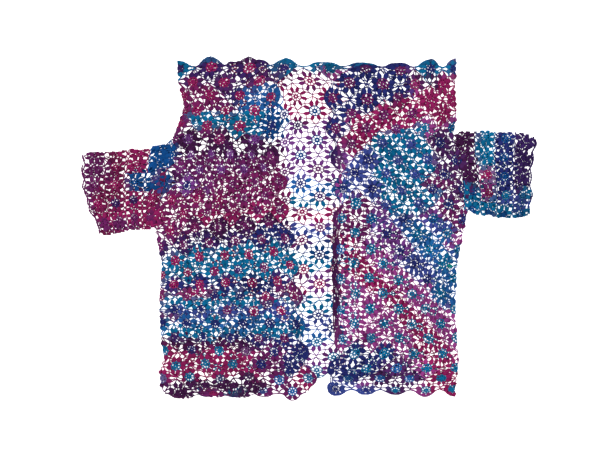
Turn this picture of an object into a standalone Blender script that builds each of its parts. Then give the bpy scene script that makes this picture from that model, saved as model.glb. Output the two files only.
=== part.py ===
"""A flower-lace crochet cardigan, laid flat with its fronts open over its back.

One wide lace panel is folded at both sides over a flat back, and a short tube sleeve
is joined to the armhole slit in each side fold. Every layer is a wall of cloth. The
back and the sleeves' under layers lie on the table. The fronts and the sleeves' over
layers lie on them, and turn down round their edges at the folds.

Left and right are the viewer's. X runs to the right, Y to the neck and Z up. Tables
and named sizes are in millimetres, and mesh points in metres.
"""

import math

import bmesh
import bpy
from mathutils import Vector
from mathutils.geometry import delaunay_2d_cdt

MM = 0.001

# The cloth
WALL = 2.0  # thickness of the lace, at its petals
LAYER_GAP = 0.3  # between a layer and the one it lies on
SEAM_GAP = 0.3  # between two pieces that are joined edge to edge
OVER_TOP = WALL + LAYER_GAP + WALL  # upper face of the upper layers
TURN = WALL + LAYER_GAP  # radius of the fold's outer face
UNDER_INSET = 0.2  # from the fold line to the edge of the layer inside it
FOLD_STEP = 14.0  # between the points along a fold
TURN_CLEAR = 1.0  # from a seam's end to where the fold starts

# One repeat of the lace: a flower, and the knot of threads halfway to the next one
RING_REACH = 10.8  # from a flower's middle to the start of the gap beside it
KNOT_REACH = 1.8  # from the knot of threads to the gap's other end
GAP_HALF_WIDTH = 3.7
GAP_WIDEST_AT = 0.42  # of the way from the flower's end to the knot's end
LEAST_GAP = 6.0  # a shorter gap than this is left closed
EDGE_MARGIN = 3.0  # of cloth round every gap

# The garment's sides, as (y, x) at each bend of the outline
LEFT_SIDE = (
    (-290, -254),
    (-277, -260),
    (-250, -263),
    (-222, -256),
    (-200, -260),
    (-125, -264),
    (-63, -260),
    (-32, -265),
    (2, -272),
    (154, -241),
    (170, -237),
    (190, -228),
    (216, -221),
    (250, -230),
    (280, -233),
    (301, -228),
)
RIGHT_SIDE = (
    (-292, 253),
    (-229, 260),
    (-185, 257),
    (-142, 255),
    (-80, 257),
    (-28, 264),
    (16, 273),
    (33, 275),
    (167, 252),
    (180, 254),
    (210, 257),
    (247, 254),
    (270, 256),
    (297, 255),
)
# Each armhole, as (y at its lower end, y at its upper end)
LEFT_ARMHOLE = (2, 154)
RIGHT_ARMHOLE = (33, 167)

# Each front's edge along the opening, as (y, x) at each scallop and notch
LEFT_OPENING = (
    (-284, 8),
    (-269, 17),
    (-248, 2),
    (-229, 3),
    (-196, -8),
    (-177, -4),
    (-147, -17),
    (-128, -11),
    (-96, -19),
    (-72, -18),
    (-40, -29),
    (-16, -25),
    (12, -38),
    (28, -35),
    (61, -45),
    (84, -39),
    (121, -54),
    (156, -56),
    (180, -51),
    (205, -56),
    (257, -46),
    (283, -27),
    (291, -29),
)
RIGHT_OPENING = (
    (-279, 31),
    (-262, 26),
    (-229, 36),
    (-189, 44),
    (-156, 37),
    (-138, 40),
    (-89, 39),
    (-45, 36),
    (-28, 43),
    (-2, 37),
    (26, 41),
    (51, 39),
    (79, 44),
    (114, 34),
    (136, 41),
    (171, 26),
    (196, 33),
    (222, 24),
    (247, 31),
    (268, 17),
    (284, 18),
)

# Scalloped edges: (x and y of a valley, how far the scallop after it stands out)
TOP_SCALLOPS = (
    (-252, 286, 15),
    (-200, 287, 16),
    (-135, 284, 16),
    (-74, 287, 15),
    (1, 280, 12),
    (69, 280, 8),
    (134, 283, 9),
    (188, 281, 14),
    (240, 286, 8),
    (272, 286, 0),
)
LEFT_HEM_SCALLOPS = (
    (-270, -280, -11),
    (-205, -289, -3),
    (-156, -283, -4),
    (-96, -282, -10),
    (-45, -289, -14),
    (2, -287, -3),
    (22, -276, 0),
)
RIGHT_HEM_SCALLOPS = (
    (25, -276, -15),
    (84, -281, -6),
    (134, -280, -6),
    (172, -282, -9),
    (227, -286, -14),
    (275, -287, 0),
)
BACK_HEM = -256.0  # the back's hem is shorter, and hidden but for one scallop
BACK_HEM_SCALLOP = -7.0
BACK_HEM_SCALLOPS = 10
SCALLOP_STEPS = 5
SCALLOP_ROUNDNESS = 0.75  # 1 is half a sine wave, and less is fuller

# The sleeves' fold lines as (x, y), and their cuffs as (y, x)
LEFT_SLEEVE_TOP = (
    (-402, 129),
    (-391, 133),
    (-369, 136),
    (-330, 136),
    (-320, 141),
    (-287, 139),
    (-275, 145),
    (-241, 151),
)
LEFT_SLEEVE_BOTTOM = (
    (-369, -8),
    (-353, -12),
    (-341, -9),
    (-303, -1),
    (-287, -3),
    (-271, 5),
)
LEFT_CUFF = (
    (-8, -369),
    (6, -373),
    (22, -378),
    (34, -389),
    (50, -392),
    (74, -400),
    (113, -402),
    (129, -401),
)
RIGHT_SLEEVE_TOP = (
    (252, 164),
    (268, 173),
    (287, 168),
    (292, 172),
    (319, 172),
    (331, 169),
    (362, 170),
    (384, 165),
    (402, 157),
)
RIGHT_SLEEVE_BOTTOM = (
    (275, 36),
    (291, 24),
    (317, 24),
    (326, 20),
    (374, 20),
    (384, 26),
)
RIGHT_CUFF = (
    (26, 384),
    (31, 390),
    (45, 388),
    (70, 393),
    (80, 384),
    (98, 393),
    (115, 391),
    (136, 397),
    (147, 396),
    (157, 402),
)

# The lace of each piece: the height of each row, from the top down, and the share of the
# piece's width at each column
YOKE_SHARES = (0, 0.15, 0.3, 0.475, 0.65, 0.825, 1)
YOKE_TOP, YOKE_ROW, YOKE_ROWS = 282, 25.0, 6
LEFT_COLUMNS = 10
LEFT_HEIGHTS = ((0, 130), (7, -47), (17, -284))  # (row, y), even between these rows
LEFT_TILTS = ((-290, 0), (-142, 0), (-47, 18), (60, 8), (130, 0))  # (y, right end's rise)
RIGHT_COLUMNS = 8
RIGHT_HEIGHTS = ((0, 280), (19, -217.8), (20, -244), (22, -280))
RIGHT_TOP_SHARES = (0, 0.095, 0.19, 0.31, 0.43, 0.565, 0.7, 0.85, 1)
RIGHT_TOP_ROWS = 5  # by this row the columns are even
INNER_MARGIN = 14.0  # from the last column of a front to its edge
BACK_COLUMNS = 18
BACK_HEIGHTS = ((0, 283), (21, -248.3))
BACK_STRIP = (8, 10)  # the columns at each edge of the strip that shows
BACK_STRIP_X = ((-265, -21), (-100, -14), (100, -15), (240, -26), (283, -42))
BACK_PITCH = 30.0  # between the columns of that strip
STRIP_MARGIN = 4.0  # how far under a front the strip's gaps go on
BACK_FREE_STEP = 3  # the flat back needs one in this many of its lattice's points
SLEEVE_COLUMNS = 5
LEFT_SLEEVE_ROWS = (0, 5)  # the rows of the left front that go on into the sleeve
RIGHT_SLEEVE_ROWS = (5, 9)
SLEEVE_MARGIN = 12.0  # from the lace's outer rows to the sleeve's folds and cuff
CORNER_CLEAR = 2.0  # from the last point of a seam to the sleeve's fold lines

# Soft folds in the upper layers: middle x and y, the way they run in degrees, half of
# the length, half of the width, and the height
FOLDS = (
    (-150, 122, 8, 80, 24, 3.5),
    (-125, 70, -14, 90, 26, 3.0),
    (-195, 42, 22, 60, 22, 3.2),
    (-95, 5, 4, 75, 24, 2.4),
    (-170, -45, -6, 70, 26, 1.8),
    (-60, -235, 12, 60, 26, 2.0),
    (-40, 60, 80, 95, 15, 2.4),
    (-14, -110, 82, 100, 16, 2.2),
    (140, 218, 38, 95, 24, 3.0),
    (112, 108, 62, 80, 26, 2.4),
    (196, 92, 78, 80, 24, 3.0),
    (150, -30, 12, 80, 28, 1.8),
    (43, -60, 90, 120, 15, 2.2),
    (190, -235, -10, 55, 26, 2.0),
    (-318, 88, 4, 48, 20, 2.6),
    (-325, 38, -6, 40, 18, 2.0),
    (322, 112, 2, 50, 20, 2.6),
    (330, 62, 6, 42, 18, 2.2),
)
FOLD_FADE = 24.0  # the folds die away this near a fold line
MERGE = 0.0001  # points nearer than this are one


def smooth(rows, at):
    """The value at one place of a smooth curve through rows of (place, value)."""
    last = len(rows) - 1
    k = 0
    while k < last - 1 and at > rows[k + 1][0]:
        k += 1
    (start, low), (stop, high) = rows[k], rows[k + 1]
    before, after = rows[max(k - 1, 0)], rows[min(k + 2, last)]
    length = stop - start
    slope_in = (high - before[1]) / (stop - before[0]) * length
    slope_out = (after[1] - low) / (after[0] - start) * length
    t = min(max((at - start) / length, 0.0), 1.0)
    square, cube = t * t, t * t * t
    return (
        low * (2 * cube - 3 * square + 1)
        + slope_in * (cube - 2 * square + t)
        + high * (3 * square - 2 * cube)
        + slope_out * (cube - square)
    )


def scallop_line(scallops, start, stop):
    """Points along a scalloped edge from one x to another, rising in x."""
    points = []
    for (x0, y0, rise), (x1, y1, _) in zip(scallops, scallops[1:]):
        for step in range(SCALLOP_STEPS):
            t = step / SCALLOP_STEPS
            bulge = math.sin(math.pi * t) ** SCALLOP_ROUNDNESS
            x = x0 + (x1 - x0) * t
            if start < x < stop:
                points.append(Vector((x, y0 + (y1 - y0) * t + rise * bulge)))
    return points


def back_hem_scallops(left, right):
    """The rows of the back's plain row of even scallops."""
    width = (right - left) / BACK_HEM_SCALLOPS
    return tuple(
        (left + width * k, BACK_HEM, BACK_HEM_SCALLOP)
        for k in range(BACK_HEM_SCALLOPS + 1)
    )


def evenly(start, stop, step):
    """Places from start to stop, about step apart, both ends included."""
    count = max(1, round(abs(stop - start) / step))
    return [start + (stop - start) * k / count for k in range(count + 1)]


def shifted(points, distance):
    """An open line of points, moved sideways to its left by a distance."""
    moved = []
    for k, point in enumerate(points):
        along = points[min(k + 1, len(points) - 1)] - points[max(k - 1, 0)]
        moved.append(point + Vector((-along.y, along.x)).normalized() * distance)
    return moved


def sleeve_line(rows, start, stop):
    """Points of a sleeve's long edge between two places, on the photo's outline."""
    return [Vector((x, smooth(rows, x))) for x in evenly(start, stop, FOLD_STEP)]


def opening_line(rows, start, stop):
    """Points of a front's inner edge, at and between its scallops."""
    heights = [y for y, _ in rows if min(start, stop) <= y <= max(start, stop)]
    middles = [(a + b) / 2 for a, b in zip(heights, heights[1:])]
    places = sorted(heights + middles, reverse=start > stop)
    return [Vector((smooth(rows, y), y)) for y in places]


def distance_to_line(point, a, b):
    """How far a point is from the stretch between a and b."""
    along = b - a
    share = min(max((point - a).dot(along) / along.length_squared, 0.0), 1.0)
    return (point - a - along * share).length


def inside(point, outline, margin):
    """Whether a point is inside a closed outline and clear of its edge."""
    crossings = 0
    for a, b in zip(outline, outline[1:] + outline[:1]):
        if distance_to_line(point, a, b) < margin:
            return False
        if (a.y > point.y) != (b.y > point.y):
            at = a.x + (b.x - a.x) * (point.y - a.y) / (b.y - a.y)
            crossings += at > point.x
    return crossings % 2 == 1


def fold_height(x, y):
    """How far the soft folds raise an upper layer at one place."""
    height = 0.0
    for middle_x, middle_y, degrees, half_length, half_width, top in FOLDS:
        turn = math.radians(degrees)
        along = (x - middle_x) * math.cos(turn) + (y - middle_y) * math.sin(turn)
        across = (y - middle_y) * math.cos(turn) - (x - middle_x) * math.sin(turn)
        if abs(along) < half_length:
            end = (1 - (along / half_length) ** 2) ** 2
            height += top * end * math.exp(-((across / half_width) ** 2))
    return height


class Lattice:
    """The rows and columns of a panel's lace, with a flower at every second place.

    Columns run from the outer edge to the inner one, and rows from the top down. Each
    row is its height, how much its last column is higher than its first, and the share
    of the width at each column.
    """

    def __init__(self, outer, inner, rows, first_flower=0):
        self.outer, self.inner, self.rows = outer, inner, rows
        self.first_flower = first_flower

    def place(self, column, row):
        """The place of a flower or a knot in the plan."""
        height, tilt, shares = self.rows[row]
        y = height + tilt * (shares[column] - 0.5)
        start, stop = self.outer(y), self.inner(y)
        return Vector((start + (stop - start) * shares[column], y))

    def nodes(self):
        """The column and row of every flower and knot."""
        for row, (_, _, shares) in enumerate(self.rows):
            for column in range(len(shares)):
                yield column, row

    def is_flower(self, column, row):
        """Whether a place holds a flower and not a knot."""
        return (column + row + self.first_flower) % 2 == 0

    def gap(self, column, row, step):
        """The corners of the long gap between a flower and the knot beside it."""
        flower = self.place(column, row)
        knot = self.place(column + step, row)
        way = (knot - flower).normalized()
        start, stop = flower + way * RING_REACH, knot - way * KNOT_REACH
        if (stop - start).dot(way) < LEAST_GAP:
            return None
        side = Vector((-way.y, way.x)) * GAP_HALF_WIDTH
        middle = start.lerp(stop, GAP_WIDEST_AT)
        return [start, middle - side, stop, middle + side]


def even_shares(count):
    """The share of the width at each of evenly spaced columns."""
    return [k / count for k in range(count + 1)]


def row_heights(known):
    """The height of each row, evenly spaced between the known (row, height) pairs."""
    heights = [known[0][1]]
    for (row, high), (next_row, low) in zip(known, known[1:]):
        count = next_row - row
        heights += [high + (low - high) * k / count for k in range(1, count + 1)]
    return heights


def gaps_of(lattice, outline, both_sides=False):
    """The gaps of a lattice that lie inside an outline, one or two for each flower."""
    last = len(lattice.rows[0][2]) - 1
    found = []
    for column, row in lattice.nodes():
        if not lattice.is_flower(column, row):
            continue
        steps = [1 if column < last else -1]
        if both_sides and 0 < column < last:
            steps = [1, -1]
        for step in steps:
            corners = lattice.gap(column, row, step)
            if corners and all(inside(c, outline, EDGE_MARGIN) for c in corners):
                found.append(corners)
    return found


def sheet(outline, gaps, free, height):
    """An open sheet in the outline, with its gaps, at the height that height() gives."""
    points = list(outline)
    edges = [(k, (k + 1) % len(outline)) for k in range(len(outline))]
    owner = {}
    for number, corners in enumerate(gaps):
        first = len(points)
        points += corners
        edges += [(first + k, first + (k + 1) % 4) for k in range(4)]
        owner.update({first + k: number for k in range(4)})
    points += free
    plan, _, triangles, origins, _, _ = delaunay_2d_cdt(points, edges, [], 1, MERGE)
    gap_of = [owner.get(ids[0]) if ids else None for ids in origins]
    faces = []
    for face in triangles:
        numbers = {gap_of[k] for k in face}
        if len(numbers) > 1 or None in numbers:
            faces.append(face)
    verts = [Vector((p.x, p.y, height(p.x, p.y))) * MM for p in plan]
    mesh = bpy.data.meshes.new("sheet")
    mesh.from_pydata(verts, [], faces)
    return mesh


def turn_down(mesh, run, outward):
    """Turns the sheet down to the table along a run of its outline's points.

    The outer face follows a quarter round about the edge of the layer inside.
    """
    middle = OVER_TOP - TURN
    rings = [
        (TURN * math.sin(math.pi / 4), middle + TURN * math.cos(math.pi / 4)),
        (TURN, middle),
        (TURN, 0.0),
    ]
    work = bmesh.new()
    work.from_mesh(mesh)
    work.verts.ensure_lookup_table()
    edge_verts = []
    for point in run:
        place = Vector((point.x, point.y, 0.0)) * MM
        near = min(
            (v for v in work.verts if v.is_boundary),
            key=lambda v: (v.co.xy - place.xy).length_squared,
        )
        near.co.z = OVER_TOP * MM
        edge_verts.append(near)
    sides = [b - a for a, b in zip(run, shifted(run, outward))]
    line = list(edge_verts)
    for reach, top in rings:
        new = []
        for point, side in zip(run, sides):
            way = side.normalized() * reach
            new.append(work.verts.new(Vector((point.x + way.x, point.y + way.y, top)) * MM))
        for k in range(len(run) - 1):
            work.faces.new((line[k], new[k], new[k + 1], line[k + 1]))
        line = new
    bmesh.ops.recalc_face_normals(work, faces=work.faces)
    if sum(f.normal.z for f in work.faces) < 0:
        bmesh.ops.reverse_faces(work, faces=work.faces)
    work.to_mesh(mesh)
    work.free()


def make_material(name, colour):
    """Matt yarn of one colour."""
    material = bpy.data.materials.new(name)
    material.use_nodes = True
    shader = material.node_tree.nodes["Principled BSDF"]
    shader.inputs["Base Color"].default_value = (*colour, 1.0)
    shader.inputs["Roughness"].default_value = 0.85
    shader.inputs["Metallic"].default_value = 0.0
    return material


def make_panel(name, mesh, material, collection):
    """A cloth wall whose outer face is the sheet."""
    mesh.name = name
    mesh.materials.append(material)
    panel = bpy.data.objects.new(name, mesh)
    collection.objects.link(panel)
    wall = panel.modifiers.new("wall", "SOLIDIFY")
    wall.thickness = WALL * MM
    wall.offset = -1.0
    wall.use_even_offset = True
    wall.use_quality_normals = True


class Side:
    """The lines that the pieces on one side of the garment share."""

    def __init__(self, sign, rows, armhole, opening, hem):
        self.sign, self.rows, self.opening, self.hem = sign, rows, opening, hem
        low, high = armhole
        self.seam_low = Vector((self.fold_x(low), low))
        self.seam_high = Vector((self.fold_x(high), high))
        self.lowest, self.highest = rows[0][0], rows[-1][0]

    def fold_x(self, y):
        """Where the flat part of an upper layer ends, inside the outline by the turn."""
        return smooth(self.rows, y) - self.sign * TURN

    def seam(self, away):
        """Points down the armhole, moved away from the body by a distance."""
        way = (self.seam_low - self.seam_high).normalized()
        count = round((self.seam_high - self.seam_low).length / FOLD_STEP)
        across = Vector((way.y, -way.x)) * (1 if way.y * self.sign > 0 else -1)
        return [
            self.seam_high.lerp(self.seam_low, k / count) + across * away
            for k in range(count + 1)
        ]

    def seam_x(self, y):
        """The armhole's place at one height."""
        share = (y - self.seam_low.y) / (self.seam_high.y - self.seam_low.y)
        return self.seam_low.x + (self.seam_high.x - self.seam_low.x) * share

    def fold(self, start, stop, inset):
        """Points of the body's side fold between two heights."""
        line = [Vector((self.fold_x(y), y)) for y in evenly(start, stop, FOLD_STEP)]
        towards = inset * self.sign if stop < start else -inset * self.sign
        return shifted(line, -towards)

    def opening_x(self, y):
        """The front's inner edge at one height."""
        return smooth(self.opening, y)


def upper_height(fold_lines):
    """The height of an upper layer's outer face, level near its fold lines."""

    def height(x, y):
        place = Vector((x, y))
        near = min(
            distance_to_line(place, a, b)
            for line in fold_lines
            for a, b in zip(line, line[1:])
        )
        fade = min(near / FOLD_FADE, 1.0)
        return OVER_TOP + fold_height(x, y) * fade * fade * (3 - 2 * fade)

    return height


def lower_height(x, y):
    """The height of the outer face of a layer that lies on the table."""
    return WALL


def body_runs(side, inset):
    """The two stretches of a side fold and the armhole between them, from the top."""
    upper = side.fold(side.highest, side.seam_high.y + 2 * TURN_CLEAR, inset)
    seam = side.seam(-SEAM_GAP / 2)
    lower = side.fold(side.seam_low.y - 2 * TURN_CLEAR, side.lowest, inset)
    return upper, seam, lower


def front_lattices(side):
    """The lace of a front, from its fold to its opening."""

    def inner(y):
        return side.opening_x(y) + side.sign * INNER_MARGIN

    if side.sign < 0:
        yoke = [(YOKE_TOP - YOKE_ROW * k, 0.0, YOKE_SHARES) for k in range(YOKE_ROWS)]
        shares = even_shares(LEFT_COLUMNS)
        body = [(y, smooth(LEFT_TILTS, y), shares) for y in row_heights(LEFT_HEIGHTS)]
        return [Lattice(side.fold_x, inner, yoke), Lattice(side.fold_x, inner, body)]
    rows = []
    for row, y in enumerate(row_heights(RIGHT_HEIGHTS)):
        even = min(row / RIGHT_TOP_ROWS, 1.0)
        pairs = zip(RIGHT_TOP_SHARES, even_shares(RIGHT_COLUMNS))
        rows.append((y, 0.0, [a + (b - a) * even for a, b in pairs]))
    return [Lattice(side.fold_x, inner, rows)]


class BackLattice(Lattice):
    """The lace of the back, whose middle columns show between the fronts."""

    def __init__(self, left, right):
        shares = even_shares(BACK_COLUMNS)
        rows = [(y, 0.0, shares) for y in row_heights(BACK_HEIGHTS)]
        super().__init__(left.fold_x, right.fold_x, rows)

    def place(self, column, row):
        """The place of a flower or a knot, spaced by itself in the strip that shows."""
        first, last = BACK_STRIP
        y = self.rows[row][0]
        strip_start = smooth(BACK_STRIP_X, y)
        strip_stop = strip_start + BACK_PITCH * (last - first)
        if column < first:
            x = self.outer(y) + (strip_start - self.outer(y)) * column / first
        elif column > last:
            share = (column - last) / (BACK_COLUMNS - last)
            x = strip_stop + (self.inner(y) - strip_stop) * share
        else:
            x = strip_start + BACK_PITCH * (column - first)
        return Vector((x, y))


def make_front(name, side, material, collection):
    """A front: fold, top scallops, opening and hem, with its gaps cut through."""
    upper, seam, lower = body_runs(side, 0.0)
    ends = sorted((side.opening_x(side.opening[-1][0]), upper[0].x))
    top = scallop_line(TOP_SCALLOPS, *ends)
    opening = opening_line(side.opening, side.opening[-1][0], side.opening[0][0])
    hem = scallop_line(side.hem, *sorted((opening[-1].x, lower[-1].x)))
    if side.sign < 0:
        hem.reverse()
        outline = top + opening + hem + lower[::-1] + seam[::-1] + upper[::-1]
    else:
        outline = opening + hem + lower[::-1] + seam[::-1] + upper[::-1] + top[::-1]
    gaps, free = [], []
    for lattice in front_lattices(side):
        gaps += gaps_of(lattice, outline)
        free += free_points(lattice, outline, gaps)
    mesh = sheet(outline, gaps, free, upper_height([upper, lower]))
    turn_down(mesh, upper, side.sign)
    turn_down(mesh, lower, side.sign)
    make_panel(name, mesh, material, collection)


def free_points(lattice, outline, gaps):
    """The flowers' middles and the knots, which carry the folds, clear of the gaps."""
    found = []
    for column, row in lattice.nodes():
        place = lattice.place(column, row)
        if not inside(place, outline, EDGE_MARGIN):
            continue
        if all(not inside(place, corners, 0.0) for corners in gaps):
            found.append(place)
    return found


def make_back(left, right, material, collection):
    """The back, flat on the table, with the gaps of the strip that shows."""
    left_upper, left_seam, left_lower = body_runs(left, UNDER_INSET)
    right_upper, right_seam, right_lower = body_runs(right, UNDER_INSET)
    left_lower = [p for p in left_lower if p.y > BACK_HEM]
    right_lower = [p for p in right_lower if p.y > BACK_HEM]
    top = scallop_line(TOP_SCALLOPS, left_upper[0].x, right_upper[0].x)
    hem_rows = back_hem_scallops(left_lower[-1].x, right_lower[-1].x)
    hem = scallop_line(hem_rows, left_lower[-1].x, right_lower[-1].x)
    outline = (
        top
        + right_upper
        + right_seam
        + right_lower
        + hem[::-1]
        + left_lower[::-1]
        + left_seam[::-1]
        + left_upper[::-1]
    )
    lattice = BackLattice(left, right)
    gaps = [
        corners
        for corners in gaps_of(lattice, outline, both_sides=True)
        if left.opening_x(corners[0].y) - STRIP_MARGIN
        < (corners[0].x + corners[2].x) / 2
        < right.opening_x(corners[0].y) + STRIP_MARGIN
    ]
    free = free_points(lattice, outline, gaps)[::BACK_FREE_STEP]
    make_panel("back", sheet(outline, gaps, free, lower_height), material, collection)


class Sleeve:
    """The four lines round a sleeve laid flat."""

    def __init__(self, side, top_rows, bottom_rows, cuff_rows, body_rows):
        self.side, self.cuff_rows = side, cuff_rows
        self.top_rows, self.bottom_rows = top_rows, bottom_rows
        self.body_rows = body_rows

    def lines(self, inset, away):
        """The seam, the two folds and the cuff, each from the seam or the top on."""
        sign = self.side.sign
        seam = self.side.seam(away)
        cuff_top = self.cuff_rows[-1][1]
        cuff_bottom = self.cuff_rows[0][1]
        high = smooth(self.top_rows, seam[0].x) - TURN - inset
        low = smooth(self.bottom_rows, seam[-1].x) + TURN + inset
        top_start = self.side.seam_x(high) + sign * (away + TURN_CLEAR)
        bottom_start = self.side.seam_x(low) + sign * (away + TURN_CLEAR)
        top = sleeve_line(self.top_rows, top_start, cuff_top)
        bottom = sleeve_line(self.bottom_rows, bottom_start, cuff_bottom)
        top = shifted(top, (TURN + inset) * -sign)
        bottom = shifted(bottom, (TURN + inset) * sign)
        lowest, highest = bottom[0].y + CORNER_CLEAR, top[0].y - CORNER_CLEAR
        seam = [p for p in seam if lowest < p.y < highest]
        heights = [y for y, _ in self.cuff_rows][1:-1]
        cuff = [Vector((smooth(self.cuff_rows, y), y)) for y in heights]
        return seam, top, bottom, cuff[::-1]

    def lattice(self):
        """The lace of the sleeve, from its cuff to the rows of the front that it joins."""
        seam, top, bottom, _ = self.lines(0.0, SEAM_GAP / 2)
        cuff = self.cuff_rows

        def outer(y):
            near = min(max(y, cuff[0][0]), cuff[-1][0])
            return smooth(cuff, near) - self.side.sign * SLEEVE_MARGIN

        def inner(y):
            share = (y - seam[-1].y) / (seam[0].y - seam[-1].y)
            return seam[-1].x + (seam[0].x - seam[-1].x) * share

        front = front_lattices(self.side)[-1]
        first, last = self.body_rows
        highest, lowest = top[-1].y - SLEEVE_MARGIN, bottom[-1].y + SLEEVE_MARGIN
        shares = even_shares(SLEEVE_COLUMNS)
        lace_rows = []
        for row in range(first, last + 1):
            at_cuff = highest + (lowest - highest) * (row - first) / (last - first)
            at_seam = front.place(0, row).y
            lace_rows.append(((at_cuff + at_seam) / 2, at_seam - at_cuff, shares))
        first_flower = (SLEEVE_COLUMNS + first) % 2
        return Lattice(outer, inner, lace_rows, first_flower)


def make_sleeve(name, sleeve, over, material, collection):
    """One layer of a sleeve: the over layer turns down round the under one."""
    inset = 0.0 if over else UNDER_INSET
    seam, top, bottom, cuff = sleeve.lines(inset, SEAM_GAP / 2)
    outline = seam + bottom + cuff[::-1] + top[::-1]
    lattice = sleeve.lattice()
    gaps = gaps_of(lattice, outline) if over else []
    free = free_points(lattice, outline, gaps) if over else []
    height = upper_height([top, bottom]) if over else lower_height
    mesh = sheet(outline, gaps, free, height)
    if over:
        turn_down(mesh, top, sleeve.side.sign)
        turn_down(mesh, bottom, -sleeve.side.sign)
    make_panel(name, mesh, material, collection)


def main():
    """Builds the cardigan's seven pieces in a collection of their own."""
    for thing in list(bpy.data.objects):
        bpy.data.objects.remove(thing, do_unlink=True)
    collection = bpy.data.collections.new("cardigan")
    bpy.context.scene.collection.children.link(collection)
    plum = make_material("yarn_plum", (0.20, 0.03, 0.14))
    magenta = make_material("yarn_magenta", (0.36, 0.02, 0.14))
    teal = make_material("yarn_teal", (0.01, 0.17, 0.28))
    navy = make_material("yarn_navy", (0.03, 0.05, 0.22))
    left = Side(-1, LEFT_SIDE, LEFT_ARMHOLE, LEFT_OPENING, LEFT_HEM_SCALLOPS)
    right = Side(1, RIGHT_SIDE, RIGHT_ARMHOLE, RIGHT_OPENING, RIGHT_HEM_SCALLOPS)
    left_sleeve = Sleeve(
        left, LEFT_SLEEVE_TOP, LEFT_SLEEVE_BOTTOM, LEFT_CUFF, LEFT_SLEEVE_ROWS
    )
    right_sleeve = Sleeve(
        right, RIGHT_SLEEVE_TOP, RIGHT_SLEEVE_BOTTOM, RIGHT_CUFF, RIGHT_SLEEVE_ROWS
    )
    make_back(left, right, navy, collection)
    make_front("front_left", left, magenta, collection)
    make_front("front_right", right, teal, collection)
    make_sleeve("sleeve_left_under", left_sleeve, False, plum, collection)
    make_sleeve("sleeve_left_over", left_sleeve, True, plum, collection)
    make_sleeve("sleeve_right_under", right_sleeve, False, navy, collection)
    make_sleeve("sleeve_right_over", right_sleeve, True, navy, collection)


main()
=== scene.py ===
import math
from collections import namedtuple

import bpy
import numpy as np
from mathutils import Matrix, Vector
from mathutils.bvhtree import BVHTree


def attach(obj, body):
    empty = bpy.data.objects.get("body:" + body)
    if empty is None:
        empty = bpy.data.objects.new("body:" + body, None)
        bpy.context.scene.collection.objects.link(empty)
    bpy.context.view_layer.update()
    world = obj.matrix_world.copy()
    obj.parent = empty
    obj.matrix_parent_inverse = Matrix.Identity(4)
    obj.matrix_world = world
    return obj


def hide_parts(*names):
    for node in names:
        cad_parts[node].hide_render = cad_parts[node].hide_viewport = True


# The crocheted lace of the cardigan, built over the frame's plain walls. Lengths in the
# tables are in millimetres and mesh points in metres. Left and right are the viewer's.
#
# The lace is a chequerboard. Every second place of a piece's grid holds a flower, and
# each place between holds a knot, where threads from the flowers round it meet. A spot
# in the lace is given as (column, row), in whole numbers at these places. Measures inside
# a flower are shares of the way from its middle to the knot beside it, and the half
# widths and heights of strands are in millimetres.

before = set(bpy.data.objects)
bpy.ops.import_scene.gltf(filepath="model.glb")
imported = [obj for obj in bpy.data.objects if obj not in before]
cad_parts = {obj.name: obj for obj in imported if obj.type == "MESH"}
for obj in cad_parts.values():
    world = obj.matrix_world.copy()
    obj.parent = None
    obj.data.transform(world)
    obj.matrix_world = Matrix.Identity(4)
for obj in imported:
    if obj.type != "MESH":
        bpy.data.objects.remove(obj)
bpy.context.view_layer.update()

MM = 0.001
SEED = 7

# The frame's walls, and the room that the lace keeps in them
WALL = 2.0
TURN = 2.3  # radius of a fold's outer face
SEAM_HALF = 0.15  # half of the room at a seam
LOW = 1.0  # middle of the layers that lie on the floor
HIGH = 3.3  # middle of the layers on them
ROLL = (HIGH - LOW) / 2  # the lace turns round a fold at this radius
FLOOR_ROOM = 0.02
EDGE_ROOM = 1.2  # from the petal tips to the outline
EDGE_REACH = (8.0, 24.0)  # least and greatest reach of the petals at an edge
END_ROOM = 0.5  # from an end of a solid, where its outline is still measured
OVERHEAD = 50.0  # above every layer
FOLD_STEPS = 160
SLEEVE_FOLD_STEPS = 24

LEFT_ARMHOLE = (2, 154)  # its lower and upper end
RIGHT_ARMHOLE = (33, 167)

# The grids, as in the frame: the height of each row, from the top down and even between
# the ones given as (row, y), and the share of the piece's width at each column
YOKE_SHARES = (0, 0.15, 0.3, 0.475, 0.65, 0.825, 1)
YOKE_HEIGHTS = ((0, 282), (5, 157))
LEFT_COLUMNS = 10
LEFT_HEIGHTS = ((0, 130), (7, -47), (17, -284))
LEFT_TILTS = ((-290, 0), (-142, 0), (-47, 18), (60, 8), (130, 0))  # (y, right end's rise)
RIGHT_COLUMNS = 8
RIGHT_HEIGHTS = ((0, 280), (19, -217.8), (20, -244), (22, -280))
RIGHT_TOP_SHARES = (0, 0.095, 0.19, 0.31, 0.43, 0.565, 0.7, 0.85, 1)
RIGHT_TOP_ROWS = 5  # over which the columns become even
INNER_MARGIN = 14.0  # from the last column of a front to its edge
OUTER_PITCH = 28.0  # from a fold to the first column past it
BACK_COLUMNS = 18
BACK_HEIGHTS = ((0, 283), (21, -248.3))
BACK_STRIP = (8, 10)  # the columns at each edge of the strip that shows
BACK_STRIP_X = ((-265, -21), (-100, -14), (100, -15), (240, -26), (283, -42))  # (y, x)
BACK_PITCH = 30.0
BACK_SLACK = (4.5, 15.0, 12.0)  # how far hidden lace strays across on each side, and down
SLACK_ROOM = 3  # columns and rows over which it starts to stray
SHOWN = (7, 11)  # the back's columns that show or lie just under the fronts' edges
FRONT_WANDER = 1.7  # how far the places of the lace wander
BACK_WANDER = 1.2

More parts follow.
